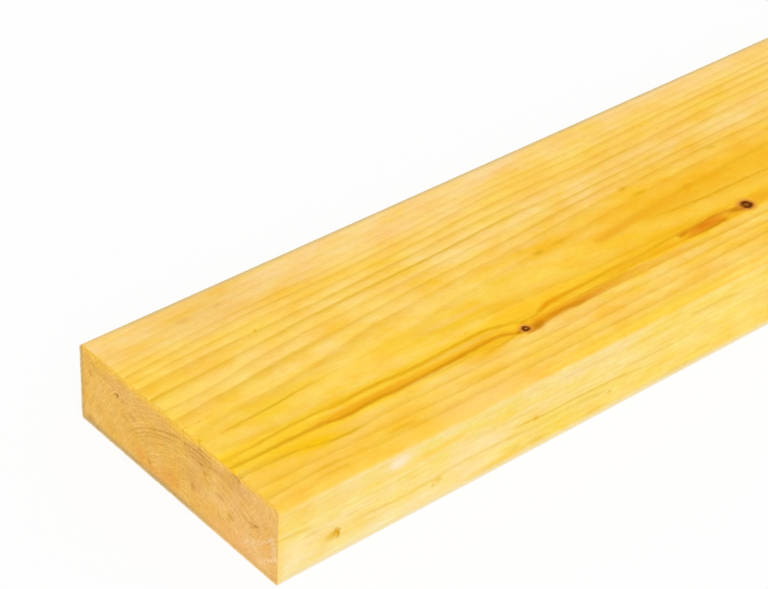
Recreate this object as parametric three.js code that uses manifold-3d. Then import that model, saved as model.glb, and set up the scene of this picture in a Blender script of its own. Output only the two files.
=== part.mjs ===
// Softwood plank: one sawn and planed length with eased arrises, square crosscut ends,
// two small knots, and the few shallow marks of a stock length that has been handled.
//
// Millimetres. +X runs along the plank, +Y across its width, +Z up through its thickness.
// The origin is at the middle of the underside.

import * as THREE from "three";
import { mergeVertices } from "three/addons/utils/BufferGeometryUtils.js";
import Module from "manifold-3d";

const wasm = await Module();
wasm.setup();

// ---- Stock size ----
const LENGTH = 2400;
const WIDTH = 150;
const THICKNESS = 45;

// ---- Planed arrises: a quarter round on each long edge, eased more on the upper face ----
const UPPER_ARRIS_RADIUS = 4;
const UNDER_ARRIS_RADIUS = 1.5;
const ARRIS_STEPS = 10;

// ---- Knots on the upper face: a shrinkage groove round a tight core ----
// FROM_END is measured from the -X end, FROM_EDGE from the -Y edge.
const PIN_KNOT_FROM_END = 172.3;
const PIN_KNOT_FROM_EDGE = 31.5;
const PIN_KNOT_LENGTH = 4.8;
const PIN_KNOT_WIDTH = 4.4;
const BRANCH_KNOT_FROM_END = 332;
const BRANCH_KNOT_FROM_EDGE = 41;
const BRANCH_KNOT_LENGTH = 9;
const BRANCH_KNOT_WIDTH = 6;
const KNOT_GROOVE_WIDTH = 0.9;
const KNOT_GROOVE_DEPTH = 0.5;
const KNOT_AROUND_STEPS = 40;
const KNOT_SECTION_STEPS = 8;

// ---- Nicks in the -Y narrow face, heights above the underside ----
const NICK_FROM_END = 33;
const NICK_HEIGHT = 14.5;
const NICK_LENGTH = 2.4;
const NICK_TALL = 5;
const NICK_DEPTH = 1;
const SMALL_NICK_FROM_END = 91;
const SMALL_NICK_HEIGHT = 13.5;
const SMALL_NICK_SIZE = 3;
const SMALL_NICK_DEPTH = 0.6;

// ---- Resin pocket in the -X end grain ----
const POCKET_FROM_FAR_EDGE = 29;
const POCKET_BELOW_TOP = 14;
const POCKET_LENGTH = 4;
const POCKET_WIDTH = 2.2;
const POCKET_DEPTH = 1.2;
const POCKET_TILT = 0.6;

// ---- Drying check: a hairline split that starts at the top of the -X end ----
const CHECK_FROM_EDGE = 69;
const CHECK_HEIGHT = 7;
const CHECK_REACH = 9;
const CHECK_OPENING = 0.5;
const CHECK_OVERSHOOT = 1; // carries the cutter clear of the two faces it opens

// ---- Tear-out where the saw left the top edge of the -X end ----
const TEAR_FROM_EDGE = 30;
const TEAR_WIDTH = 8;
const TEAR_HEIGHT = 1.4;
const TEAR_REACH = 1.6;

const PIT_AROUND_STEPS = 20;
const PIT_HEIGHT_STEPS = 10;

const END_X = -LENGTH / 2;
const EDGE_Y = -WIDTH / 2;
const FAR_EDGE_Y = WIDTH / 2;

// A closed geometry as a solid: only positions count, and shared corners become one.
function solid(geometry) {
  const bare = geometry.clone();
  bare.deleteAttribute("normal");
  bare.deleteAttribute("uv");
  const merged = mergeVertices(bare);
  const mesh = new wasm.Mesh({
    numProp: 3,
    vertProperties: new Float32Array(merged.attributes.position.array),
    triVerts: new Uint32Array(merged.index.array),
  });
  return new wasm.Manifold(mesh);
}

// The solid's faces as a geometry again, flat shaded.
function geometryOf(body) {
  const mesh = body.getMesh();
  const geometry = new THREE.BufferGeometry();
  geometry.setAttribute("position", new THREE.BufferAttribute(mesh.vertProperties, 3));
  geometry.setIndex(new THREE.BufferAttribute(mesh.triVerts, 1));
  const flat = geometry.toNonIndexed();
  flat.computeVertexNormals();
  return flat;
}

// Rectangle of width by height, centred across and standing on zero, with quarter-round corners.
function easedSection(width, height, upperRadius, underRadius) {
  const upperRight = width / 2 - upperRadius;
  const underRight = width / 2 - underRadius;
  const upper = height - upperRadius;
  const quarter = Math.PI / 2;
  const section = new THREE.Shape();
  section.absarc(underRight, underRadius, underRadius, -quarter, 0);
  section.absarc(upperRight, upper, upperRadius, 0, quarter);
  section.absarc(-upperRight, upper, upperRadius, quarter, 2 * quarter);
  section.absarc(-underRight, underRadius, underRadius, 2 * quarter, 3 * quarter);
  section.closePath();
  return section;
}

// The planed length: the section in the YZ plane, swept along X between two square saw cuts.
function plankBlank() {
  const section = easedSection(WIDTH, THICKNESS, UPPER_ARRIS_RADIUS, UNDER_ARRIS_RADIUS);
  const blank = new THREE.ExtrudeGeometry(section, {
    depth: LENGTH,
    bevelEnabled: false,
    curveSegments: ARRIS_STEPS,
  });
  const sectionToYZ = new THREE.Matrix4().makeBasis(
    new THREE.Vector3(0, 1, 0),
    new THREE.Vector3(0, 0, 1),
    new THREE.Vector3(1, 0, 0),
  );
  blank.applyMatrix4(sectionToYZ);
  blank.translate(END_X, 0, 0);
  return blank;
}

// Groove round a knot: an oval ring whose lower half sinks into the upper face.
function knotGroove(fromEnd, fromEdge, length, width) {
  const radius = length / 2;
  const ring = new THREE.TorusGeometry(
    radius,
    KNOT_GROOVE_WIDTH / 2,
    KNOT_SECTION_STEPS,
    KNOT_AROUND_STEPS,
  );
  const depthScale = KNOT_GROOVE_DEPTH / (KNOT_GROOVE_WIDTH / 2);
  ring.scale(1, width / length, depthScale);
  ring.translate(END_X + fromEnd, EDGE_Y + fromEdge, THICKNESS);
  return ring;
}

// Shallow oval pit: an ellipsoid given by its full sizes, its middle on the face it marks.
function pit(sizeX, sizeY, sizeZ) {
  const ball = new THREE.SphereGeometry(0.5, PIT_AROUND_STEPS, PIT_HEIGHT_STEPS);
  ball.scale(sizeX, sizeY, sizeZ);
  return ball;
}

function edgeNicks() {
  const nick = pit(NICK_LENGTH, 2 * NICK_DEPTH, NICK_TALL);
  nick.translate(END_X + NICK_FROM_END, EDGE_Y, NICK_HEIGHT);
  const smallNick = pit(SMALL_NICK_SIZE, 2 * SMALL_NICK_DEPTH, SMALL_NICK_SIZE);
  smallNick.translate(END_X + SMALL_NICK_FROM_END, EDGE_Y, SMALL_NICK_HEIGHT);
  return [nick, smallNick];
}

function resinPocket() {
  const pocket = pit(2 * POCKET_DEPTH, POCKET_LENGTH, POCKET_WIDTH);
  pocket.rotateX(-POCKET_TILT);
  pocket.translate(END_X, FAR_EDGE_Y - POCKET_FROM_FAR_EDGE, THICKNESS - POCKET_BELOW_TOP);
  return pocket;
}

// A split that is widest at the end face and dies out inwards: in plan, a slim triangle.
function dryingCheck() {
  const growth = (CHECK_REACH + CHECK_OVERSHOOT) / CHECK_REACH;
  const halfMouth = (growth * CHECK_OPENING) / 2;
  const plan = new THREE.Shape();
  plan.moveTo(-CHECK_OVERSHOOT, halfMouth);
  plan.lineTo(-CHECK_OVERSHOOT, -halfMouth);
  plan.lineTo(CHECK_REACH, 0);
  plan.closePath();
  const split = new THREE.ExtrudeGeometry(plan, {
    depth: CHECK_HEIGHT + CHECK_OVERSHOOT,
    bevelEnabled: false,
  });
  split.translate(END_X, EDGE_Y + CHECK_FROM_EDGE, THICKNESS - CHECK_HEIGHT);
  return split;
}

function sawTearOut() {
  const tear = pit(2 * TEAR_REACH, TEAR_WIDTH, 2 * TEAR_HEIGHT);
  tear.translate(END_X, EDGE_Y + TEAR_FROM_EDGE, THICKNESS);
  return tear;
}

function plank() {
  const marks = [
    knotGroove(PIN_KNOT_FROM_END, PIN_KNOT_FROM_EDGE, PIN_KNOT_LENGTH, PIN_KNOT_WIDTH),
    knotGroove(
      BRANCH_KNOT_FROM_END,
      BRANCH_KNOT_FROM_EDGE,
      BRANCH_KNOT_LENGTH,
      BRANCH_KNOT_WIDTH,
    ),
    ...edgeNicks(),
    resinPocket(),
    dryingCheck(),
    sawTearOut(),
  ];
  let body = solid(plankBlank());
  for (const mark of marks) {
    body = body.subtract(solid(mark));
  }
  return geometryOf(body);
}

const planedSoftwood = new THREE.MeshStandardMaterial({
  color: new THREE.Color().setRGB(0.96, 0.77, 0.38, THREE.SRGBColorSpace),
  roughness: 0.55,
  metalness: 0,
});

const timber = new THREE.Group();
const plankMesh = new THREE.Mesh(plank(), planedSoftwood);
plankMesh.name = "plank";
timber.add(plankMesh);

export default timber;
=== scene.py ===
"""The looks of a planed softwood plank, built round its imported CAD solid.

Lengths are in millimetres of the plank unless a name says otherwise: "along" from the sawn end
that faces the camera, "across" from the narrow side that faces it, and "up" from the underside.
Blender's own coordinates are metres in the CAD frame.
"""

import math
from collections import namedtuple
from functools import reduce
from operator import mul

import bpy
import numpy as np
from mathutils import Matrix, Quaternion, Vector, geometry, noise


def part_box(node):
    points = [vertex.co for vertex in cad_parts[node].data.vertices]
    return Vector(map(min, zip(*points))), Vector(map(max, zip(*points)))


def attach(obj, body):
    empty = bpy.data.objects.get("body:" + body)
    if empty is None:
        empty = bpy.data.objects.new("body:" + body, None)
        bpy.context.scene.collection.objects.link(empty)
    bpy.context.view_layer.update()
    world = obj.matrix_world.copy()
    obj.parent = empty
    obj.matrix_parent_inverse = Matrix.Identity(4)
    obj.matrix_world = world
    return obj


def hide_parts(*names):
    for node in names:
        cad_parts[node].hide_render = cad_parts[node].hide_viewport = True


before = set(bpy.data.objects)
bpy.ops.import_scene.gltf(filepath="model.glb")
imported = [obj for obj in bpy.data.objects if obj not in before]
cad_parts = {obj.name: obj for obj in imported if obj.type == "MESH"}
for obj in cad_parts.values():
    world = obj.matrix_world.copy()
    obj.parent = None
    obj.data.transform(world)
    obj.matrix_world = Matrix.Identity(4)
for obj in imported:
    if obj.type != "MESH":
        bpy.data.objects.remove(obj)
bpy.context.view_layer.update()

MM = 0.001
PLANK_LOW, PLANK_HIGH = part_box("plank")
LENGTH, WIDTH, THICKNESS = (PLANK_HIGH - PLANK_LOW) / MM


def in_frame(places):
    """Places on the plank, in millimetres, as metres in the CAD frame."""
    return np.asarray(PLANK_LOW) + np.asarray(places, float) * MM


# ---- Camera, lamps and floor ---------------------------------------------------------------

SENSOR = 36
LENS = 122.5
CAMERA_AT = (-534.2, -664.3, 786.2)
CAMERA_AIM = (136.9, 92.1, 45.0)
CAMERA_ROLL = math.radians(2.523)

SKY_LIGHT = 0.65
SUN_LIGHT = 1.43
SUN_SPREAD = math.radians(50)
SUN_FROM = (-0.45, -0.62, 0.9)
WHITE = (1, 1, 1, 1)

FLOOR_REACH = 80_000
FLOOR_DROP = 0.05
FLOOR_COLOUR = (0.93, 0.93, 0.93, 1)
FLOOR_GLOW_SHARE = 0.85


def add_camera():
    data = bpy.data.cameras.new("camera")
    data.sensor_width = SENSOR
    data.lens = LENS
    camera = bpy.data.objects.new("camera", data)
    bpy.context.scene.collection.objects.link(camera)
    camera.location = in_frame(CAMERA_AT)
    level = (Vector(in_frame(CAMERA_AIM)) - camera.location).to_track_quat("-Z", "Y")
    camera.rotation_mode = "QUATERNION"
    camera.rotation_quaternion = level @ Quaternion((0, 0, 1), CAMERA_ROLL)
    bpy.context.scene.camera = camera


def seen_directly(nodes, links):
    """1 for rays that show the stage or its mirror image, and 0 for those that light the object."""
    path = nodes.new("ShaderNodeLightPath")
    seen = path.outputs["Is Camera Ray"]
    for ray in ("Is Glossy Ray", "Is Transmission Ray"):
        either = nodes.new("ShaderNodeMath")
        either.operation = "MAXIMUM"
        links.new(seen, either.inputs[0])
        links.new(path.outputs[ray], either.inputs[1])
        seen = either.outputs[0]
    return seen


def light_sky():
    """A plain white surrounding: white where the camera sees it, and softer as a light."""
    world = bpy.data.worlds.new("studio")
    bpy.context.scene.world = world
    world.use_nodes = True
    nodes, links = world.node_tree.nodes, world.node_tree.links
    background = nodes["Background"]
    background.inputs["Color"].default_value = WHITE
    strength = nodes.new("ShaderNodeMapRange")
    strength.inputs["To Min"].default_value = SKY_LIGHT
    strength.inputs["To Max"].default_value = 1
    links.new(seen_directly(nodes, links), strength.inputs["Value"])
    links.new(strength.outputs["Result"], background.inputs["Strength"])


def light_sun():
    data = bpy.data.lights.new("soft_sun", "SUN")
    data.energy = SUN_LIGHT
    data.angle = SUN_SPREAD
    lamp = bpy.data.objects.new("soft_sun", data)
    bpy.context.scene.collection.objects.link(lamp)
    lamp.rotation_mode = "QUATERNION"
    lamp.rotation_quaternion = Vector(SUN_FROM).to_track_quat("Z", "Y")


def floor_material():
    """A pale floor that the camera sees as white, with part of the shadow left in it."""
    material = bpy.data.materials.new("floor")
    material.use_nodes = True
    nodes, links = material.node_tree.nodes, material.node_tree.links
    nodes.clear()
    paint = nodes.new("ShaderNodeBsdfDiffuse")
    paint.inputs["Color"].default_value = FLOOR_COLOUR
    glow = nodes.new("ShaderNodeEmission")
    glow.inputs["Color"].default_value = WHITE
    glow.inputs["Strength"].default_value = 1
    share = nodes.new("ShaderNodeMath")
    share.operation = "MULTIPLY"
    share.inputs[1].default_value = FLOOR_GLOW_SHARE
    links.new(seen_directly(nodes, links), share.inputs[0])
    mix = nodes.new("ShaderNodeMixShader")
    links.new(share.outputs[0], mix.inputs["Fac"])
    links.new(paint.outputs[0], mix.inputs[1])
    links.new(glow.outputs[0], mix.inputs[2])
    output = nodes.new("ShaderNodeOutputMaterial")
    links.new(mix.outputs[0], output.inputs["Surface"])
    return material


def lay_floor():
    middle = Vector((LENGTH / 2, WIDTH / 2, -FLOOR_DROP))
    corners = [
        middle + Vector((side * FLOOR_REACH, end * FLOOR_REACH, 0))
        for side, end in ((-1, -1), (1, -1), (1, 1), (-1, 1))
    ]
    mesh = bpy.data.meshes.new("floor")
    mesh.from_pydata([in_frame(corner) for corner in corners], [], [(0, 1, 2, 3)])
    mesh.materials.append(floor_material())
    floor = bpy.data.objects.new("floor", mesh)
    bpy.context.scene.collection.objects.link(floor)


# ---- Shape of the plank --------------------------------------------------------------------

UPPER_ARRIS_RADIUS = 4.0
UNDER_ARRIS_RADIUS = 1.5
ARRIS_STEPS = 10
SHARP_ANGLE = math.radians(55)

Knot = namedtuple("Knot", "along across length width groove_width groove_depth")
PIN_KNOT = Knot(172.3, 31.5, 4.8, 4.4, 0.9, 0.5)
BRANCH_KNOT = Knot(332, 41, 9, 6, 0.9, 0.5)

Nick = namedtuple("Nick", "along up length tall depth")
EDGE_NICK = Nick(33, 14.5, 2.4, 5, 1.0)
SMALL_NICK = Nick(91, 13.5, 3, 3, 0.6)

Pocket = namedtuple("Pocket", "across up length width depth tilt")
RESIN_POCKET = Pocket(121, 31, 4, 2.2, 1.2, -0.6)

Check = namedtuple("Check", "across deep reach opening")
DRYING_CHECK = Check(69, 7, 9, 0.5)

Chip = namedtuple("Chip", "across width deep reach")
TEAR_OUT = Chip(30, 8, 1.4, 1.6)
SMALL_CHIP = Chip(58, 4, 0.8, 1.0)

Dense = namedtuple("Dense", "middle half step")
GRADING = 0.35
STATION_STEP = 15
STATION_DENSE = (
    Dense(0, 0, 0.25),
    Dense(EDGE_NICK.along, 1.6, 0.3),
    Dense(SMALL_NICK.along, 2, 0.4),
    Dense(PIN_KNOT.along, 3.5, 0.3),
    Dense(BRANCH_KNOT.along, 6, 0.4),
    Dense(LENGTH, 0, 0.5),
)
TOP_STEP = 2
TOP_DENSE = (
    Dense(PIN_KNOT.across, 3.5, 0.3),
    Dense(BRANCH_KNOT.across, 4, 0.4),
    Dense(DRYING_CHECK.across, DRYING_CHECK.opening / 2, DRYING_CHECK.opening / 4),
)
SIDE_STEP = 1.8
SIDE_DENSE = (Dense(EDGE_NICK.up, 2.7, 0.4), Dense(SMALL_NICK.up, 1.8, 0.4))
HIDDEN_STEP = 4
NEAR_CAP_STEP = 1.0
FAR_CAP_STEP = 2.5

RIM_CHIP_REACH = 1.5
RIM_CHIP_DEPTH = 0.6
RIM_CHIP_SIZE = 1.3
CHECK_PINCH = 0.3
FACING = 0.99

SAW_RELIEF = 0.12
MEAN_TEAR = 0.5
STROKE_SHARE = 0.5
STROKE_STRETCH = 0.35
STROKE_SLANT = 0.6
STROKE_SIZE = 1.6
FUZZ_SHARE = 0.35
FUZZ_SIZE = 0.9

CAP_CLEARANCE = 0.6
CAP_ROW_HEIGHT = math.sqrt(3) / 2
INSIDE_OUTLINE = 1
SAME_PLACE = 1e-6


def graded(start, end, step, dense=()):
    """Places from start to end that lie closer together in and round each dense stretch."""
    places = [start]
    while places[-1] < end:
        here = places[-1]
        steps = [d.step + GRADING * max(0, abs(here - d.middle) - d.half) for d in dense]
        places.append(min(end, here + min([step, *steps])))
    return np.array(places)


def section_loop():
    """The section as (across, up) points and outward normals, once round from the upper face."""
    upper, under = UPPER_ARRIS_RADIUS, UNDER_ARRIS_RADIUS
    top = [(y, THICKNESS) for y in graded(upper, WIDTH - upper, TOP_STEP, TOP_DENSE)]
    far = [(WIDTH, z) for z in graded(under, THICKNESS - upper, HIDDEN_STEP)[::-1]]
    bottom = [(y, 0) for y in graded(under, WIDTH - under, HIDDEN_STEP)[::-1]]
    near = [(0, z) for z in graded(under, THICKNESS - upper, SIDE_STEP, SIDE_DENSE)]
    sides = ((top, (0, 1)), (far, (1, 0)), (bottom, (0, -1)), (near, (-1, 0)))
    arrises = (
        (WIDTH - upper, THICKNESS - upper, upper),
        (WIDTH - under, under, under),
        (under, under, under),
        (upper, THICKNESS - upper, upper),
    )
    points, normals = [], []
    for turn, ((side, normal), (middle, height, radius)) in enumerate(zip(sides, arrises)):
        points += side
        normals += [normal] * len(side)
        for step in range(1, ARRIS_STEPS):
            angle = math.pi / 2 * (1 - turn - step / ARRIS_STEPS)
            normal = (math.cos(angle), math.sin(angle))
            points.append((middle + radius * normal[0], height + radius * normal[1]))
            normals.append(normal)
    return np.array(points), np.array(normals)


def bowl(share):
    """Depth of a round-bottomed hollow, 1 in its middle and 0 at its rim, where share is 1."""
    return np.sqrt(np.clip(1 - share**2, 0, None))


def knot_groove(knot, along, across):
    """The dark groove where the wood has shrunk from a knot."""
    right, back = along - knot.along, across - knot.across
    share = np.hypot(right * 2 / knot.length, back * 2 / knot.width)
    from_rim = np.hypot(right, back) * np.abs(1 - 1 / np.maximum(share, MM))
    return knot.groove_depth * bowl(from_rim * 2 / knot.groove_width)


def nick(hollow, along, up):
    right, rise = along - hollow.along, up - hollow.up
    return hollow.depth * bowl(np.hypot(right * 2 / hollow.length, rise * 2 / hollow.tall))


def chip(hollow, along, across):
    share = np.hypot(along / hollow.reach, (across - hollow.across) * 2 / hollow.width)
    return hollow.deep * bowl(share)


def resin_pocket(across, up):
    pocket = RESIN_POCKET
    right, rise = across - pocket.across, up - pocket.up
    cos, sin = math.cos(pocket.tilt), math.sin(pocket.tilt)
    lengthways = (right * cos + rise * sin) * 2 / pocket.length
    sideways = (rise * cos - right * sin) * 2 / pocket.width
    return pocket.depth * bowl(np.hypot(lengthways, sideways))


def drying_check(along, across):
    """The check's depth at each place on the upper face, and the places with its walls drawn in."""
    check = DRYING_CHECK
    left = np.clip(1 - along / check.reach, 0, 1)
    aside = across - check.across
    depth = check.deep * left * np.clip(1 - np.abs(aside) * 2 / check.opening, 0, 1)
    inside = (np.abs(aside) < check.opening / 2) & (left > 0)
    pinch = np.where(inside, CHECK_PINCH + (1 - CHECK_PINCH) * left, 1)
    return depth, check.across + aside * pinch


def rough(places, size):
    """Steady noise from -1 to 1, with lumps of about that size, at each of the places."""
    return np.array([noise.noise(Vector(place) / size) for place in places])


def saw_relief(across, up):
    """How far the saw has torn into the end, at each place on it."""
    level = np.zeros(len(across))
    slanted = np.column_stack([STROKE_STRETCH * across, up + STROKE_SLANT * across, level])
    strokes = rough(slanted, STROKE_SIZE)
    fuzz = rough(np.column_stack([across, up, level]), FUZZ_SIZE)
    return SAW_RELIEF * np.clip(MEAN_TEAR + STROKE_SHARE * strokes + FUZZ_SHARE * fuzz, 0, 1)


def rim_chips(points, along):
    """The depth of the ragged rim round the near end."""
    ragged = np.clip(rough(np.column_stack([np.zeros(len(points)), points]), RIM_CHIP_SIZE), 0, 1)
    return RIM_CHIP_DEPTH * ragged[None, :] * np.clip(1 - along / RIM_CHIP_REACH, 0, 1)


def worn_grid(stations, points, normals):
    """The long faces' vertices, stations by section points, with every hollow pressed inwards."""
    along = np.repeat(stations[:, None], len(points), axis=1)
    across = np.repeat(points[None, :, 0], len(stations), axis=0)
    up = np.repeat(points[None, :, 1], len(stations), axis=0)
    crack, drawn_in = drying_check(along, across)
    top = sum(knot_groove(knot, along, across) for knot in (PIN_KNOT, BRANCH_KNOT))
    top = np.maximum(top, crack)
    for hollow in (TEAR_OUT, SMALL_CHIP):
        top = np.maximum(top, chip(hollow, along, across))
    side = nick(EDGE_NICK, along, up) + nick(SMALL_NICK, along, up)
    on_top = normals[None, :, 1] > FACING
    on_near_side = normals[None, :, 0] < -FACING
    depth = np.where(on_top, top, 0) + np.where(on_near_side, side, 0)
    depth = np.maximum(depth, rim_chips(points, along))
    grid = np.stack([along, drawn_in - normals[:, 0] * depth, up - normals[:, 1] * depth], axis=2)
    torn = saw_relief(points[:, 0], points[:, 1])
    grid[0, :, 0] = torn
    grid[-1, :, 0] = LENGTH - torn
    return grid


def grid_faces(rows, columns):
    """The quads of a grid that closes round its columns."""
    row, column = np.meshgrid(np.arange(rows - 1), np.arange(columns), indexing="ij")
    after = (column + 1) % columns
    corners = ((row, column), (row + 1, column), (row + 1, after), (row, after))
    quads = np.stack([r * columns + c for r, c in corners], axis=2).reshape(-1, 4)
    return [tuple(quad) for quad in quads.tolist()]


def cap_points(step):
    """Points inside an end face, clear of its rim, its chips and the drying check."""
    clear = CAP_CLEARANCE * step
    points = []
    for row, up in enumerate(np.arange(step, THICKNESS - clear, step * CAP_ROW_HEIGHT)):
        shift = step / 2 * (row % 2)
        points += [(across, up) for across in np.arange(step + shift, WIDTH - clear, step)]
    points = np.array(points)
    in_upper_half = points[:, 1:] > THICKNESS / 2
    radius = np.where(in_upper_half, UPPER_ARRIS_RADIUS, UNDER_ARRIS_RADIUS)
    into_arris = radius - np.minimum(np.minimum(points, (WIDTH, THICKNESS) - points), radius)
    inside = (into_arris.min(axis=1) == 0) | (np.hypot(*into_arris.T) < radius[:, 0] - clear)
    lowest = THICKNESS - DRYING_CHECK.deep - clear
    in_check = (np.abs(points[:, 0] - DRYING_CHECK.across) < clear) & (points[:, 1] > lowest)
    in_chip = np.zeros(len(points), bool)
    for hollow in (TEAR_OUT, SMALL_CHIP):
        floor = THICKNESS - chip(hollow, 0, points[:, 0])
        in_chip |= points[:, 1] > floor - clear
    return points[inside & ~in_check & ~in_chip]


def cap(rim, step):
    """Triangles over an end face: its inner points, and faces that count the rim's points first."""
    inner = cap_points(step)
    flat = [Vector(point) for point in np.vstack([rim, inner])]
    outline = list(range(len(rim)))
    filled = geometry.delaunay_2d_cdt(flat, [], [outline], INSIDE_OUTLINE, SAME_PLACE)
    corners, triangles, sources = filled[0], filled[2], filled[3]
    number = [source[0] for source in sources]
    return inner, [tuple(number[corner] for corner in triangle) for triangle in triangles]


def plank_mesh():
    stations = graded(0, LENGTH, STATION_STEP, STATION_DENSE)
    grid = worn_grid(stations, *section_loop())
    rows, columns = grid.shape[:2]
    vertices = [grid.reshape(-1, 3)]
    faces = grid_faces(rows, columns)
    sawn = []
    count = rows * columns
    for end, step in ((0, NEAR_CAP_STEP), (rows - 1, FAR_CAP_STEP)):
        inner, triangles = cap(grid[end, :, 1:], step)
        torn = saw_relief(inner[:, 0], inner[:, 1])
        along = torn + resin_pocket(inner[:, 0], inner[:, 1]) if end == 0 else LENGTH - torn
        vertices.append(np.column_stack([along, inner]))
        for triangle in triangles:
            ids = [c + end * columns if c < columns else c - columns + count for c in triangle]
            sawn.append(tuple(ids[::-1] if end == 0 else ids))
        count += len(inner)
    mesh = bpy.data.meshes.new("softwood_plank")
    mesh.from_pydata(in_frame(np.vstack(vertices)), [], faces + sawn)
    mesh.polygons.foreach_set("material_index", [0] * len(faces) + [1] * len(sawn))
    mesh.shade_smooth()
    mesh.set_sharp_from_angle(angle=SHARP_ANGLE)
    mesh.validate()
    return mesh


# ---- Wood, as values and colours that vary through it --------------------------------------

def linear(channel):
    """A colour channel as it shows on a screen, from 0 to 255, as the light that it stands for."""
    share = channel / 255
    return share / 12.92 if share <= 0.04045 else ((share + 0.055) / 1.055) ** 2.4


def shown(red, green, blue):
    return (linear(red), linear(green), linear(blue), 1)


class Field:
    """A number that varies through the wood, worked out by shader nodes."""

    def __init__(self, tree, socket):
        self.tree = tree
        self.socket = socket

    def __add__(self, other):
        return calculate("ADD", self, other)

    def __sub__(self, other):
        return calculate("SUBTRACT", self, other)

    def __rsub__(self, other):
        return calculate("SUBTRACT", other, self)

    def __mul__(self, other):
        return calculate("MULTIPLY", self, other)

    def __truediv__(self, other):
        return calculate("DIVIDE", self, other)

    def __pow__(self, other):
        return calculate("POWER", self, other)

    __radd__ = __add__
    __rmul__ = __mul__


def feed(node, socket, value):
    """Gives a node's input a field, or a plain number or colour."""
    if isinstance(value, Field):
        node.id_data.links.new(value.socket, node.inputs[socket])
    else:
        node.inputs[socket].default_value = value


def calculate(operation, *values):
    tree = next(value.tree for value in values if isinstance(value, Field))
    node = tree.nodes.new("ShaderNodeMath")
    node.operation = operation
    for place, value in enumerate(values):
        feed(node, place, value)
    return Field(tree, node.outputs[0])


def greater(first, second):
    return calculate("MAXIMUM", first, second)


def joined(*axes):
    """Up to three fields, or plain numbers, as one field of vectors."""
    tree = next(axis.tree for axis in axes if isinstance(axis, Field))
    node = tree.nodes.new("ShaderNodeCombineXYZ")
    for place, axis in enumerate(axes):
        feed(node, place, axis)
    return Field(tree, node.outputs[0])


def on_vectors(operation, *values, result="Vector"):
    tree = values[0].tree
    node = tree.nodes.new("ShaderNodeVectorMath")
    node.operation = operation
    for place, value in enumerate(values):
        feed(node, place, value)
    return Field(tree, node.outputs[result])


def distance(*legs):
    return on_vectors("LENGTH", joined(*legs), result="Value")


def away(place, middle, sizes):
    """How far each place lies from the middle, in shares of the sizes along the two axes."""
    legs = on_vectors("DIVIDE", on_vectors("SUBTRACT", place, (*middle, 0)), (*sizes, 1))
    return on_vectors("LENGTH", legs, result="Value")


def smooth(value, low, high, top=1):
    """0 where value is at low, top where it is at high, and a soft step between."""
    node = value.tree.nodes.new("ShaderNodeMapRange")
    node.interpolation_type = "SMOOTHSTEP"
    feed(node, "Value", value)
    feed(node, "From Min", low)
    feed(node, "From Max", high)
    feed(node, "To Max", top)
    return Field(value.tree, node.outputs["Result"])


def hump(value, middle, half):
    """1 where value is at middle, falling softly to 0 at half on either side."""
    return smooth(calculate("ABSOLUTE", value - middle), half, 0)


def curve(value, points, straight=False):
    """A smooth or a straight-sided curve through the points, held level beyond the last ones."""
    xs, ys = zip(*points)
    width, low = xs[-1] - xs[0], min(ys)
    height = max(max(ys) - low, MM)
    node = value.tree.nodes.new("ShaderNodeFloatCurve")
    mapping = node.mapping
    mapping.extend = "HORIZONTAL"
    line = mapping.curves[0]
    while len(line.points) < len(points):
        line.points.new(0, 0)
    for spot, (x, y) in zip(line.points, points):
        spot.location = ((x - xs[0]) / width, (y - low) / height)
        spot.handle_type = "VECTOR" if straight else "AUTO_CLAMPED"
    mapping.update()
    feed(node, "Value", calculate("MULTIPLY_ADD", value, 1 / width, -xs[0] / width))
    return calculate("MULTIPLY_ADD", Field(value.tree, node.outputs[0]), height, low)


FIRST_COLOUR_INPUT, SECOND_COLOUR_INPUT, COLOUR_OUTPUT = 6, 7, 2


def mixed(first, second, share):
    """The colour first where share is 0, and second where it is 1."""
    node = share.tree.nodes.new("ShaderNodeMix")
    node.data_type = "RGBA"
    feed(node, "Factor", share)
    feed(node, FIRST_COLOUR_INPUT, first)
    feed(node, SECOND_COLOUR_INPUT, second)
    return Field(share.tree, node.outputs[COLOUR_OUTPUT])


def tinted(colour, *factors):
    """The colour with its red, green and blue light each scaled by a field."""
    return on_vectors("MULTIPLY", colour, joined(*factors))


def shaded(colour, shade, shares):
    """The colour with its red, green and blue light each changed by a share of the shade."""
    return tinted(colour, *(1 + share * shade for share in shares))


def toned(colour, wood, drift, tone):
    """The colour made paler or deeper by the drift, and greener or redder in places."""
    green = wood.waved(1 + tone.green * drift, tone.tinge)
    return tinted(colour, 1 + tone.red * drift, green, 1 + drift)


Lumps = namedtuple("Lumps", "sizes detail roughness strength", defaults=(2, 0.5, 1))
Tone = namedtuple("Tone", "red green tinge")
GLOSS = 0.02


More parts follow.
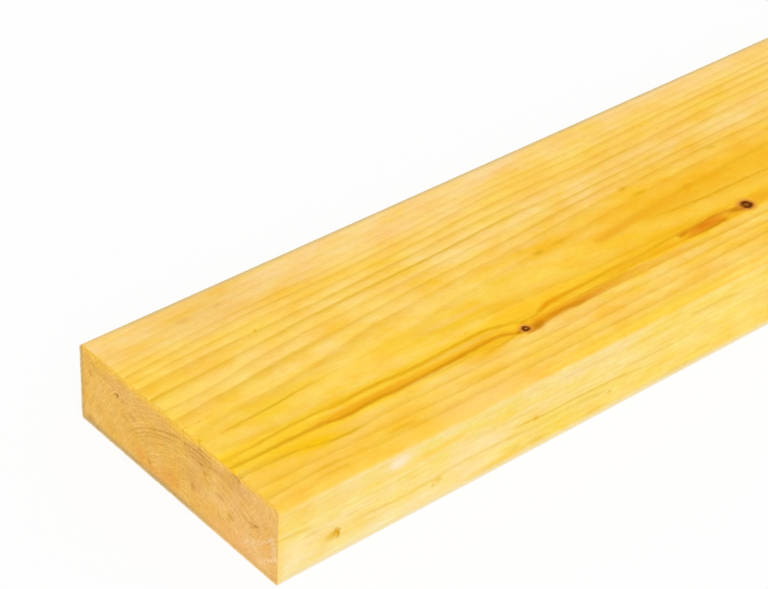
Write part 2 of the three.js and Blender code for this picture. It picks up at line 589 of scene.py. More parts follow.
class Wood:
    """One material's nodes, with the places in the wood in millimetres."""

    def __init__(self, name):
        self.material = bpy.data.materials.new(name)
        self.material.use_nodes = True
        self.tree = self.material.node_tree
        self.shader = self.tree.nodes["Principled BSDF"]
        metres = Field(self.tree, self.tree.nodes.new("ShaderNodeTexCoord").outputs["Object"])
        self.place = on_vectors("MULTIPLY_ADD", metres, (1 / MM,) * 3, -PLANK_LOW / MM)
        split = self.tree.nodes.new("ShaderNodeSeparateXYZ")
        feed(split, 0, self.place)
        self.along, self.across, self.up = (Field(self.tree, axis) for axis in split.outputs)

    def noise(self, lumps, place=None):
        """Steady noise, mostly from -0.5 to 0.5, with lumps of their sizes along three axes.

        The axes are along, across and up, unless another place is given.
        """
        node = self.tree.nodes.new("ShaderNodeTexNoise")
        feed(node, "Vector", on_vectors("DIVIDE", place or self.place, lumps.sizes))
        feed(node, "Scale", 1)
        feed(node, "Detail", lumps.detail)
        feed(node, "Roughness", lumps.roughness)
        return calculate("MULTIPLY_ADD", Field(self.tree, node.outputs["Fac"]), 2, -1)

    def waved(self, value, *waves):
        """The value, a field or a plain number, with each wave of noise added at its strength."""
        for lumps in waves:
            value = value + lumps.strength * self.noise(lumps)
        return value

    def finish(self, colour, roughness, height):
        """Sets the surface; height is its fine relief in millimetres."""
        feed(self.shader, "Base Color", colour)
        feed(self.shader, "Roughness", roughness)
        self.shader.inputs["Specular IOR Level"].default_value = GLOSS
        bump = self.tree.nodes.new("ShaderNodeBump")
        bump.inputs["Distance"].default_value = MM
        feed(bump, "Height", height)
        self.tree.links.new(bump.outputs[0], self.shader.inputs["Normal"])
        return self.material


# ---- Growth rings --------------------------------------------------------------------------

PITH_ACROSS = 55.5
PITH_SWING = 10.8
PITH_SWING_LENGTH = 500
PITH_BELOW_TOP = 80.1
PITH_RISE = 1.2
PITH_RISE_LENGTH = 98
PITH_SLOPE = 0.0086
WAVES_ACROSS = (Lumps((120, 40, 40), strength=0.9), Lumps((24, 9, 9), strength=0.5))
WAVES_UP = Lumps((110, 50, 50), strength=0.3)

Shift = namedtuple("Shift", "push start end")
RING_SHIFTS = (Shift(0.8, 75, 45), Shift(1.0, 33, 18), Shift(-0.8, 95, 135))
SIDE_RING_SHIFT = Shift(1.2, 6, 1)

Ring = namedtuple("Ring", "radius darkness")
INNERMOST_RING = 24.0
INNER_RING_COUNT = 18
OUTER_RING_WIDTH = 3.2
OUTER_RING_COUNT = 7
RINGS = (
    Ring(72.6, 0.7),
    Ring(75.0, 0.7),
    Ring(76.7, 0.35),
    Ring(78.4, 0.5),
    Ring(80.7, 0.75),
    Ring(83.05, 0.8),
    Ring(85.85, 0.65),
    Ring(89.05, 0.8),
    Ring(93.1, 0.8),
    Ring(96.35, 0.6),
    Ring(99.9, 0.75),
    Ring(102.75, 0.65),
    Ring(106.3, 0.35),
    Ring(110.5, 0.4),
    Ring(114.0, 0.3),
)
INNER_DARKNESS = 0.6
OUTER_DARKNESS = 0.3
LATEWOOD_ONSET = 2.2
LATEWOOD_END = 0.2
LATEWOOD_STRENGTH = 0.95
LATEWOOD_PATCHES = (Lumps((50, 8, 8), strength=0.8), Lumps((14, 1.5, 1.5), strength=0.5))

Bend = namedtuple("Bend", "along across push reach spread")
BEND_EDGE = 2
BENDS = (
    Bend(68.3, 68.9, -0.55, 30, 7),
    Bend(301.9, 90, 0.7, 60, 8),
    Bend(24, 86, -0.7, 22, 4),
    Bend(90.5, 92, 0.5, 34, 5),
    Bend(18, 106.1, 0.95, 32, 5),
    Bend(60, 119.5, 0.95, 40, 10),
    Bend(145.9, 119.5, -0.45, 36, 10),
    Bend(236.5, 125.7, 0.75, 30, 8),
    Bend(307.1, 112.3, -1.15, 45, 10),
    Bend(15, 26.9, -1.2, 20, 4),
    Bend(58, 21.5, 0.4, 18, 4),
    Bend(180.6, 19.3, 0.8, 22, 5),
    Bend(120.3, 13.2, 0.55, 50, 5),
    Bend(301.4, 16.2, -0.45, 35, 7),
    Bend(32, 7.2, -1.2, 20, 4),
)


def ring_boundaries():
    """(radius, number) at every ring's outer edge, and (number, darkness) of its latewood."""
    inner = np.linspace(INNERMOST_RING, RINGS[0].radius, INNER_RING_COUNT, endpoint=False)
    outer = RINGS[-1].radius + OUTER_RING_WIDTH * np.arange(1, OUTER_RING_COUNT + 1)
    radii = [*inner, *(ring.radius for ring in RINGS), *outer]
    darkness = [
        *(INNER_DARKNESS for radius in inner),
        *(ring.darkness for ring in RINGS),
        *(OUTER_DARKNESS for radius in outer),
    ]
    numbers = range(len(radii))
    return list(zip(radii, numbers)), list(zip(numbers, darkness))


def shifted(value, across, shift):
    return value + shift.push * smooth(across, shift.start, shift.end)


def from_pith(wood):
    """How far each place lies beside the pith and above it, with the waves of the grain in it."""
    pith_across = PITH_ACROSS + PITH_SWING * calculate("SINE", wood.along / PITH_SWING_LENGTH)
    bow = PITH_RISE * (1 - calculate("EXPONENT", wood.along / -PITH_RISE_LENGTH))
    rise = bow + PITH_SLOPE * wood.along
    across = wood.waved(wood.across, *WAVES_ACROSS)
    for shift in RING_SHIFTS:
        across = shifted(across, wood.across, shift)
    up = shifted(wood.waved(wood.up, WAVES_UP), wood.across, SIDE_RING_SHIFT)
    return across - pith_across, up - (THICKNESS - PITH_BELOW_TOP) - rise


def ring_radius(wood):
    """The distance of each place from the pith, with the bends of the grain in it."""
    radius = distance(*from_pith(wood))
    flat = joined(wood.along, wood.across)
    for bend in BENDS:
        apart = away(flat, (bend.along, bend.across), (bend.reach, bend.spread))
        radius = radius - smooth(apart, BEND_EDGE, 0, bend.push)
    return radius


def latewood(wood, radius):
    """How much of the dark, dense wood of late summer there is, from 0 to 1."""
    boundaries, darkness = ring_boundaries()
    number = curve(radius, boundaries, straight=True)
    share = calculate("FRACT", number)
    dark = curve(number - share + 1, darkness, straight=True)
    profile = share**LATEWOOD_ONSET * smooth(share, 1, 1 - LATEWOOD_END)
    return profile * dark * wood.waved(LATEWOOD_STRENGTH, *LATEWOOD_PATCHES)


# ---- Colours -------------------------------------------------------------------------------

Pair = namedtuple("Pair", "early late")
GENERAL = Pair(shown(255, 212, 101), shown(228, 174, 36))
NEAR_END = Pair(shown(255, 210, 84), shown(230, 174, 34))
PALE = Pair(shown(253, 213, 131), shown(234, 186, 84))
DUN = Pair(shown(248, 201, 107), shown(230, 175, 64))
FAR_GOLD = Pair(shown(252, 202, 80), shown(232, 174, 36))
EDGE = Pair(shown(255, 207, 88), shown(230, 174, 40))
GOLDEN = Pair(shown(255, 211, 80), shown(230, 175, 24))
LEMON = Pair(shown(255, 209, 57), shown(234, 178, 16))
RESINOUS = Pair(shown(254, 200, 42), shown(232, 166, 8))
ORANGE = Pair(shown(251, 193, 44), shown(229, 160, 10))
# The near side's colours are paler than the upper face's: partly the wood's own tone, partly
# painted sheen.
SIDE = Pair(shown(249, 221, 137), shown(236, 200, 90))
SIDE_PALE = Pair(shown(246, 223, 154), shown(236, 206, 108))
SIDE_LOW = Pair(shown(246, 216, 108), shown(234, 192, 60))
SIDE_FAR = Pair(shown(249, 218, 114), shown(236, 196, 74))
SAWN = Pair(shown(240, 190, 96), shown(208, 150, 54))
SAWN_PALE = Pair(shown(242, 192, 114), shown(214, 158, 76))

UMBER = shown(221, 150, 6)
DARK_UMBER = shown(212, 134, 0)
AMBER = shown(232, 174, 20)
FLAME = shown(242, 171, 26)
RED = shown(238, 158, 10)
TANGERINE = shown(254, 171, 42)
SCORCHED = shown(206, 130, 2)
EMBER = shown(212, 124, 36)
RUSSET = shown(228, 128, 10)
OLIVE = shown(226, 176, 26)
YELLOW = shown(252, 197, 14)
GOLD = shown(252, 204, 44)
APRICOT = shown(250, 187, 32)
DARK_OLIVE = shown(210, 160, 10)
STRAW = shown(232, 192, 76)
CITRON = shown(243, 208, 66)
CREAM = shown(252, 236, 200)
# Colour of a painted highlight on the near side.
PAINTED_GLINT = shown(250, 230, 198)
GREY = shown(222, 196, 138)
SILVER = shown(238, 222, 172)
PIT = shown(168, 116, 36)
TORN = shown(186, 126, 54)
DULL = shown(202, 142, 64)
RUST = shown(238, 164, 74)
PEACH = shown(242, 188, 120)
# Colour of the painted shade along the end's lower and left edges.
EDGE_SHADE_COLOUR = shown(200, 170, 112)
# The upper face's yellow, painted brighter on the end's upper rim to match the lit upper face.
RIM_YELLOW = shown(252, 200, 76)
KNOT_HALO = shown(232, 158, 66)
KNOT_RIM = shown(196, 122, 30)
KNOT_PITH = shown(206, 138, 60)
KNOT_DARK = shown(104, 46, 0)

# A streak's line holds (along, offset, share) at each of its bends. The offset is across on the
# upper face and up on the near side. On the sawn end "along" counts from the far side, which is
# the left as the camera sees it, and the offset is up.
Streak = namedtuple("Streak", "colour width line")
UPPER_STREAKS = (
    Streak(FLAME, 4.2, (
        (44, 35.4, 0), (56, 34.6, 0.8), (70.2, 34.4, 0.95), (85.3, 34.8, 0.95), (100.3, 34.5, 0.85),
        (116.4, 34.2, 0.7), (132.4, 34.6, 0.75), (146.5, 34.9, 0.75), (156.6, 34.4, 0.7),
        (164.6, 32.8, 0.6), (168.6, 31.4, 0.5), (172.6, 30.2, 0),
    )),
    Streak(DARK_OLIVE, 2.0, (
        (0, 33.8, 0.4), (12, 34, 0.43), (28, 34.1, 0.5), (42, 34, 0.35), (52, 33.6, 0),
    )),
    Streak(UMBER, 2.2, (
        (0, 33.8, 0.1), (12, 34, 0.15), (28, 34.1, 0.3), (42, 34, 0.5), (52, 33.6, 0.65),
        (58, 32.4, 0.85), (65.2, 31.8, 1), (80.2, 32.7, 0.95), (95.3, 32.2, 0.9),
        (110.3, 32.5, 0.85), (125.4, 32.9, 0.95), (140.5, 33.4, 0.9), (152.5, 34, 0.85),
        (160.6, 33.2, 0.8), (165.6, 31.4, 0.8), (169.6, 30.2, 0.8), (172.6, 30.2, 0),
    )),
    Streak(AMBER, 1.9, (
        (0, 39.8, 0.4), (15, 40.2, 0.6), (28, 41, 0.8), (40, 41.5, 0.8), (50, 41.5, 0.8),
        (58, 41, 0.7), (66.2, 40.4, 0.75), (76.2, 41, 0.95), (86.3, 41.2, 0.95), (98.3, 40.6, 0.95),
        (110.4, 40, 0.95), (125.4, 40.3, 0.9), (140.5, 41.2, 0.95), (152.6, 41.4, 1),
        (160.6, 40.3, 0.9), (165.6, 39, 0.85), (170.6, 37.2, 0.6), (175.7, 35.7, 0.6),
        (180.7, 35.5, 0.85), (185.7, 36.3, 0.9), (190.8, 37.8, 1), (196.8, 39, 1), (204.8, 39.5, 1),
        (215.9, 39.7, 0.95), (229, 40.2, 0.9), (241.1, 40.8, 0.85), (253.2, 40.2, 0.55),
        (267.3, 41.1, 0.75), (281.4, 42, 0.85), (293.5, 42.4, 0.6), (305.6, 42.8, 0),
    )),
    Streak(RED, 2.6, (
        (186, 36.6, 0), (189.8, 37.8, 0.8), (194, 39, 1), (199, 39.6, 0.9), (205, 39.6, 0.5),
        (214.9, 39.7, 0.4), (225, 40, 0),
    )),
    Streak(FLAME, 4.4, ((239.1, 40, 0), (249.1, 39.8, 0.5), (259.2, 40, 0.3), (271.3, 40.2, 0))),
    Streak(OLIVE, 1.5, (
        (10, 56.1, 0), (18, 56.5, 0.6), (30, 57, 0.75), (42, 57.7, 0.9), (50, 58.4, 0.85),
        (62.2, 59.4, 0.6), (72.3, 59.9, 0.3), (90.4, 60.6, 0.15), (120.5, 61.5, 0.15),
        (135.6, 62.1, 0),
    )),
    Streak(OLIVE, 1.7, (
        (0, 26.8, 0.5), (12, 26.7, 0.6), (25, 26.5, 0.8), (34, 25.6, 0.6), (42, 23.4, 0.5),
        (49, 21.9, 0.85), (57, 21.5, 0.9), (65.1, 21.4, 0.4), (74.2, 21.9, 0),
    )),
    Streak(OLIVE, 1.6, (
        (0, 94.2, 0.8), (12, 95, 0.6), (25, 95.6, 0.4), (50, 97.2, 0.3), (75.4, 98.5, 0.5),
        (90.5, 99.6, 0.65), (112.6, 100.3, 0.65), (140.8, 101.3, 0.65), (170.9, 101.8, 0.7),
        (201.2, 103.3, 0.65), (226.3, 104.6, 0.55), (246.5, 105.1, 0.3), (263.6, 104.9, 0),
    )),
    Streak(RED, 5.4, (
        (173.6, 29.5, 0), (178.7, 30.2, 0.8), (186.7, 31.2, 0.95), (194.7, 31.6, 0.95),
        (204.8, 31.9, 0.95), (214.9, 32, 0.9), (226.9, 32.4, 0.75), (239, 33, 0.6),
        (249.1, 33, 0.45), (263.2, 32.2, 0.4), (276.3, 31, 0.3), (291.4, 29.6, 0.1),
        (301.4, 29.1, 0),
    )),
    Streak(DARK_UMBER, 2.8, (
        (174.2, 28.1, 0), (176.6, 28.1, 0.7), (180.7, 28.7, 0.8), (184.7, 29.8, 0.45),
        (190.7, 30.9, 0.6), (198.8, 31, 0.7), (205.8, 30.3, 0.8), (212.8, 30.3, 0.5),
        (222, 30.8, 0.2), (232, 31.4, 0),
    )),
    Streak(AMBER, 1.8, (
        (200, 34.2, 0), (212, 34, 0.6), (222, 34.2, 0.7), (232, 34.3, 0.7), (245, 33.8, 0.5),
        (258, 33, 0),
    )),
    Streak(AMBER, 1.6, (
        (140.5, 27.6, 0), (148.5, 27.9, 0.6), (156.5, 28.2, 0.75), (162.6, 29, 0.7),
        (167.6, 29.5, 0.5), (171.6, 30.2, 0),
    )),
    Streak(RUSSET, 6.5, (
        (284, 40, 0), (290, 39.4, 0.45), (296, 38.8, 0.6), (302, 39.3, 0.95), (307, 39.4, 0.9),
        (312, 39.4, 0.75), (318, 40, 0.4), (326, 40.6, 0),
    )),
    Streak(DARK_UMBER, 1.8, (
        (285, 40.2, 0), (289, 40.4, 0.95), (293, 40.9, 0.55), (300, 41, 0.7), (305, 41.6, 0.7),
        (312, 42.2, 0.75), (318, 42, 0.58), (323, 41.2, 0.42), (327, 40.6, 0),
    )),
    Streak(DARK_UMBER, 1.8, (
        (287, 36.4, 0), (293, 36.6, 0.4), (299, 36.2, 0.35), (305, 36, 0.8), (310, 36.5, 0.7),
        (313, 36.8, 1), (316, 36.8, 0.5), (319, 37, 0),
    )),
    Streak(FLAME, 5.5, (
        (337.8, 40.2, 0), (345.9, 40.2, 0.8), (362, 40.2, 0.7), (392.3, 39.2, 0.5),
        (432.7, 38.2, 0),
    )),
    Streak(FLAME, 5.4, (
        (247.2, 61.9, 0), (253.3, 62.2, 0.75), (267.4, 63.3, 0.85), (281.5, 65.2, 0.6),
        (293.6, 66.2, 0.5), (305.7, 67.3, 0.3), (319.9, 67.9, 0),
    )),
    Streak(OLIVE, 1.8, (
        (259.4, 65.8, 0), (271.5, 66.2, 0.25), (285.6, 67.7, 0.35), (297.7, 68.8, 0.3),
        (306.8, 69.1, 0.35), (320.9, 69.1, 0.45), (334, 69.5, 0.3), (347.1, 70.7, 0.35),
        (364.3, 71.8, 0.3), (402.7, 73.5, 0.25), (453.2, 75, 0),
    )),
    Streak(AMBER, 1.8, (
        (279.5, 61.7, 0), (291.6, 59.8, 0.5), (306.7, 57.9, 0.75), (326.8, 56.8, 0.9),
        (347, 56.5, 0.8), (402.5, 54.4, 0.4), (453, 53.4, 0),
    )),
    Streak(AMBER, 1.6, ((24, 9.6, 0), (30, 9.8, 0.35), (38, 10, 0.45), (44, 9.6, 0))),
    Streak(AMBER, 1.6, ((25, 5.2, 0), (32, 5.4, 0.4), (40, 5, 0.4), (45, 5, 0))),
    Streak(AMBER, 2.0, ((70, 10, 0), (74, 10.2, 0.45), (82, 10.4, 0.45), (87, 10.4, 0))),
    Streak(OLIVE, 1.5, (
        (45, 80.3, 0), (55, 81, 0.4), (68.3, 82.3, 0.5), (80.4, 83, 0.4), (92.4, 84, 0.2),
        (104.5, 85, 0),
    )),
    Streak(OLIVE, 1.5, (
        (251.5, 98.6, 0), (269.6, 99, 0.4), (286.8, 99.6, 0.55), (299.9, 99.8, 0.4),
        (314, 100.4, 0.2), (327.2, 101, 0.3), (342.3, 102.1, 0),
    )),
    Streak(OLIVE, 1.4, (
        (223.2, 91, 0), (241.4, 92.3, 0.3), (263.6, 93.2, 0.4), (281.7, 94, 0.3), (306.9, 94.6, 0),
    )),
    Streak(OLIVE, 1.6, (
        (285.9, 112.6, 0), (297, 112.5, 0.45), (307.1, 112.7, 0.55), (318.2, 113.3, 0.35),
        (334.3, 114.6, 0),
    )),
)

Spot = namedtuple("Spot", "colour along offset half_length half_width share")
UPPER_SPOTS = (
    Spot(YELLOW, 40, 25.5, 36, 10, 0.95),
    Spot(YELLOW, 44, 23.9, 16, 5, 0.9),
    Spot(YELLOW, 40, 36.2, 34, 6, 0.4),
    Spot(GOLD, 66.3, 60.6, 22, 6, 0.5),
    Spot(GOLD, 38, 55.4, 24, 8, 0.35),
    Spot(GOLD, 112.5, 60.6, 24, 7, 0.6),
    Spot(GOLD, 150.6, 52.3, 24, 6, 0.5),
    Spot(GOLD, 52, 7.2, 52, 13, 0.4),
    Spot(APRICOT, 82.2, 11.2, 15, 9, 0.35),
    Spot(APRICOT, 37, 7.2, 15, 8, 0.3),
    Spot(APRICOT, 98.5, 84, 22, 5, 0.25),
    Spot(OLIVE, 69.9, 106.7, 1.9, 1.7, 0.9),
    Spot(APRICOT, 229, 73.5, 29, 10, 0.8),
    Spot(DARK_OLIVE, 219.6, 72.5, 5.4, 2.8, 0.6),
    Spot(DARK_OLIVE, 235, 73, 9, 2.2, 0.35),
    Spot(OLIVE, 213.1, 79, 3.5, 6, 0.3),
    Spot(GOLD, 190.9, 65.8, 20, 7, 0.5),
    Spot(DARK_OLIVE, 292.8, 88, 4, 3, 0.65),
    Spot(YELLOW, 293.7, 83, 20, 9, 0.5),
    Spot(YELLOW, 296, 80.4, 9, 4, 0.6),
    Spot(DARK_OLIVE, 296.7, 80, 8, 2.6, 0.5),
    Spot(TANGERINE, 294.5, 38.9, 6.5, 2.6, 0.85),
    Spot(TANGERINE, 180.6, 32.8, 3.4, 2.2, 0.8),
    Spot(TANGERINE, 163.6, 31.2, 3, 1.4, 0.5),
    Spot(RED, 320.9, 69.9, 7, 3.4, 0.6),
    Spot(RED, 282.5, 64.8, 8, 4, 0.4),
    Spot(OLIVE, 357.3, 88, 5, 3, 0.5),
    Spot(AMBER, 357.4, 92, 22, 4, 0.25),
    Spot(APRICOT, 152.5, 30.2, 16, 6, 0.5),
    Spot(AMBER, 152, 28.3, 6, 2.4, 0.4),
    Spot(AMBER, 168.6, 29.5, 5, 3, 0.6),
    Spot(APRICOT, 143, 26.8, 30, 5, 0.7),
    Spot(APRICOT, 168, 27.2, 10, 3, 0.45),
    Spot(APRICOT, 137, 49, 14, 4, 0.5),
    Spot(APRICOT, 237, 51, 16, 4, 0.35),
    Spot(DULL, 48, 133.5, 6, 5, 0.18),
    Spot(DULL, 68, 134, 5, 3, 0.14),
    Spot(DARK_UMBER, 134.5, 33, 4.4, 1.7, 0.8),
    Spot(APRICOT, 316, 44.8, 9, 3, 0.6),
    Spot(UMBER, 175.2, 35, 4.2, 1.9, 0.7),
    Spot(TANGERINE, 186, 29.2, 3.2, 1.8, 0.8),
    Spot(OLIVE, 4, -0.3, 3.4, 1.6, 0.5),
    Spot(YELLOW, 90.2, 1.2, 34, 5, 0.3),
    Spot(CITRON, 235, 1, 85, 7, 0.65),
    Spot(PALE.early, 210, 25, 17, 4, 0.5),
    Spot(PALE.early, 112, 30.9, 30, 1.8, 0.35),
    Spot(PALE.early, 138, 37.8, 30, 2.2, 0.35),
    Spot(PALE.early, 151, 57.3, 32, 3.5, 0.4),
    Spot(PALE.early, 157, 95.5, 16, 4, 0.45),
    Spot(PALE.early, 221, 81, 14, 4, 0.4),
    Spot(PALE.early, 62, 37.8, 10, 2, 0.3),
    Spot(PALE.early, 122, 3, 46, 9, 0.5),
    Spot(PALE.early, 281, 25.3, 26, 4, 0.45),
    Spot(PALE.early, 47, 143, 28, 7, 0.5),
    Spot(GOLD, 222, 37.2, 30, 2.4, 0.7),
    # The last three spots darken the rim by the end; at the two chips this is partly torn wood and
    # partly painted shade.
    Spot(TORN, 0.4, 29, 1.6, 4.4, 0.4),
    Spot(OLIVE, 0.6, 58, 2, 2.4, 0.7),
    Spot(TORN, 0.2, 88, 1.6, 8, 0.3),
)
KNOT_SPOTS = (
    Spot(SCORCHED, 178.4, 29.2, 5.6, 4.0, 1),
    Spot(SCORCHED, 182, 30.2, 4, 3.2, 0.7),
    Spot(SCORCHED, 174, 27.2, 4.4, 1.5, 0.75),
    Spot(SCORCHED, 168.7, 30.2, 2.1, 2.3, 1),
    Spot(EMBER, 328, 38, 3.4, 3.2, 0.8),
    Spot(SCORCHED, 325.6, 39.7, 7.4, 3.6, 1),
)
SIDE_STREAKS = (
    Streak(STRAW, 1.7, (
        (40, 15.3, 0), (50, 15.3, 0.35), (60, 14.9, 0.5), (72.7, 14.2, 0.3), (80.7, 15.2, 0.45),
        (88.7, 15.3, 0.4), (94.8, 15.7, 0.3), (104.8, 16.5, 0.4), (116.9, 16.5, 0.4),
        (129, 16.2, 0.5), (141, 15.5, 0.5), (153.1, 14.9, 0.35), (166.2, 15.2, 0.35),
        (179.3, 15.5, 0.4), (191.4, 14.5, 0.5), (200.4, 13.1, 0),
    )),
    Streak(OLIVE, 1.4, (
        (133, 20.9, 0), (143.1, 20.4, 0.35), (153.1, 19.7, 0.65), (163.2, 19.1, 0.35),
        (179.3, 19.2, 0.5), (191.4, 18.7, 0.45), (206.5, 18.2, 0.45), (215.6, 17.3, 0.4),
        (223.6, 16.5, 0.3), (233.7, 15.3, 0),
    )),
    Streak(STRAW, 1.5, ((251.9, 34.3, 0), (262, 33.9, 0.6), (278.1, 33.7, 0.6), (289.2, 32.7, 0))),
    Streak(STRAW, 1.5, (
        (0, 35.9, 0.2), (22, 35.6, 0.25), (40, 36.1, 0.15), (58, 36.5, 0), (147.1, 36.3, 0.2),
        (159.2, 35.9, 0.2), (179.3, 35.1, 0.35), (191.4, 34.9, 0.35), (206.5, 34.7, 0.2),
        (231.7, 34, 0.3), (251.9, 34.1, 0),
    )),
    Streak(GOLD, 2.8, (
        (40, 31.3, 0.1), (52, 30.7, 0.25), (64.7, 30.2, 0.2), (80.8, 31.1, 0.35), (92.8, 32, 0.5),
        (104.9, 32.5, 0.3), (119, 31.9, 0.15), (131, 30.9, 0.25), (146.1, 30.3, 0.15),
        (161.2, 29.7, 0),
    )),
    Streak(STRAW, 1.5, (
        (209.5, 23, 0), (221.6, 22.5, 0.4), (236.7, 21.9, 0.3), (256.9, 22.5, 0.2),
        (277.1, 22.5, 0),
    )),
    Streak(STRAW, 1.4, (
        (151.2, 42.1, 0), (157.2, 41.7, 0.35), (165.3, 41.3, 0.2), (171.3, 40.7, 0),
    )),
    Streak(STRAW, 1.8, (
        (0, 26.2, 0.4), (12, 25.6, 0.5), (18, 24.7, 0.3), (32, 25.5, 0.1), (42, 26.5, 0.15),
        (52, 26.4, 0.2), (62.7, 25.2, 0.15), (72.7, 25.9, 0.3), (84.8, 27.1, 0.1),
        (104.9, 27.7, 0.15), (129, 26.9, 0.3), (145.1, 26.3, 0.3), (157.2, 25.9, 0),
    )),
)
SIDE_SPOTS = (
    # The first two spots are a painted highlight on the near side and its soft, paler halo.
    Spot(CREAM, 68, 35.6, 18, 8, 0.3),
    Spot(PAINTED_GLINT, 68.8, 36, 9, 5.4, 1),
    Spot(CREAM, 116.9, 20.7, 34, 9, 0.35),
    Spot(CREAM, 8, 12.7, 20, 12, 0.3),
    Spot(CREAM, 160, 27, 24, 6, 0.25),
    Spot(GOLD, 185, 8, 44, 6, 0.25),
    Spot(STRAW, 20, 20.7, 8, 2.6, 0.5),
    Spot(STRAW, 42, 20.7, 9, 2, 0.35),
    Spot(OLIVE, 31, 13.4, 6, 3.6, 0.85),
    Spot(DARK_OLIVE, 34.1, 13.2, 2.2, 4.4, 1),
    Spot(OLIVE, 93, 13.4, 3.6, 3, 0.55),
    Spot(OLIVE, 90, 11.6, 2.6, 1.8, 0.45),
    Spot(AMBER, 153.6, 19.7, 3, 2.2, 0.7),
    Spot(OLIVE, 201.9, 12.2, 2.4, 1.6, 0.7),
    Spot(STRAW, 155.1, 6.3, 9, 2.4, 0.7),
    Spot(STRAW, 141, 7.7, 6, 2, 0.4),
    Spot(STRAW, 191.3, 5.5, 12, 2, 0.5),
    Spot(STRAW, 122.9, 3.7, 12, 2.4, 0.4),
    Spot(STRAW, 266.9, 9.2, 9, 1.8, 0.4),
    Spot(STRAW, 250, 3, 40, 3.6, 0.8),
)
SAWN_STREAKS = (
    Streak(DULL, 1.1, (
        (34, 12, 0), (38, 15.6, 0.4), (45, 22, 0.6), (52, 26.8, 0.5), (60, 30.8, 0.75),
        (68, 34.4, 0.95), (74, 36.6, 1), (78, 37.6, 0.6), (80, 38, 0),
    )),
    Streak(DULL, 1.0, (
        (40, 15.4, 0), (46, 20, 0.5), (52, 24.4, 0.5), (60, 28.4, 0.6), (66, 30.6, 0.8),
        (72, 32.8, 0.6), (78, 34.6, 0),
    )),
    Streak(DULL, 1.0, (
        (42, 13.6, 0), (48, 19, 0.45), (55, 24, 0.5), (62, 27.6, 0.5), (69, 30, 0.45),
        (76, 31.8, 0.3), (80, 32.6, 0),
    )),
    Streak(DULL, 0.9, (
        (50, 15.6, 0), (56, 20.4, 0.4), (64, 24.8, 0.4), (72, 27.8, 0.3), (80, 29.6, 0),
    )),
    Streak(DULL, 0.9, (
        (82, 39.8, 0.2), (88, 40.7, 0.6), (94, 41.1, 0.75), (102, 41, 0.55), (111, 40, 0),
    )),
    Streak(DULL, 0.9, (
        (82, 37.2, 0.3), (90, 38.2, 0.6), (98, 38.7, 0.6), (106, 38.4, 0.5), (114, 37, 0),
    )),
    Streak(DULL, 0.9, (
        (82, 35, 0.3), (90, 36, 0.5), (98, 36.4, 0.5), (108, 35.6, 0.3), (116, 34, 0),
    )),
    Streak(DULL, 1.2, (
        (86, 33.8, 0), (89, 33.6, 0.7), (91, 33.9, 0.5), (94, 33.2, 0.9), (96.5, 33.8, 0.5),
        (100, 34.6, 0.3), (105, 35.6, 0),
    )),
    Streak(TORN, 0.9, (
        (81, 41, 0), (82, 38.6, 0.7), (83, 36.8, 0.5), (84.6, 35.7, 0.9), (87, 34.8, 0),
    )),
    Streak(TORN, 0.9, (
        (82, 37.6, 0), (86, 38.6, 0.5), (92, 39, 0.7), (98, 38.4, 0.6), (104, 37.6, 0),
    )),
    Streak(DULL, 0.9, (
        (95, 32, 0), (96.5, 29.6, 0.8), (98.4, 26.4, 0.6), (101, 23.6, 0.3), (104, 21, 0),
    )),
    Streak(DULL, 0.9, (
        (96, 35.2, 0), (101, 36, 0.6), (107, 37, 0.5), (112, 36.6, 0.3), (120, 34, 0),
    )),
    Streak(DULL, 1.0, (
        (118, 27.6, 0), (124, 24.6, 0.3), (130, 23.2, 0.5), (134, 24.6, 0.8), (137, 26.4, 0),
    )),
    Streak(DULL, 0.8, (
        (100, 29.6, 0), (108, 27.6, 0.4), (116, 24.4, 0.4), (126, 19.4, 0.3), (133, 15, 0),
    )),
    Streak(DULL, 0.8, (
        (112, 35.4, 0), (120, 32.6, 0.4), (127, 29, 0.4), (134, 25, 0.2), (140, 21.6, 0),
    )),
    Streak(DULL, 0.8, (
        (104, 32.6, 0), (112, 30.6, 0.4), (120, 27.6, 0.4), (130, 22.6, 0.3), (138, 17.6, 0),
    )),
    Streak(DULL, 0.8, (
        (96, 26, 0), (104, 25.2, 0.35), (112, 23, 0.35), (122, 18.6, 0.3), (130, 14, 0),
    )),
    # The two cream streaks are painted highlights along saw marks.
    Streak(CREAM, 2.8, (
        (119, 5, 0), (126, 9.6, 0.2), (131, 12.6, 0.25), (136.8, 16, 0.25), (140, 19, 0.2),
        (144, 22.8, 0.4), (147.5, 25.4, 0),
    )),
    Streak(CREAM, 2.6, ((133, 3.5, 0), (139, 7.4, 0.2), (144, 11, 0.35), (148.5, 14.6, 0.3))),
    Streak(DULL, 1.0, (
        (129, 20.6, 0), (131.4, 21.6, 0.5), (133, 23.4, 0.5), (134.6, 24.2, 1), (137, 25, 0),
    )),
)
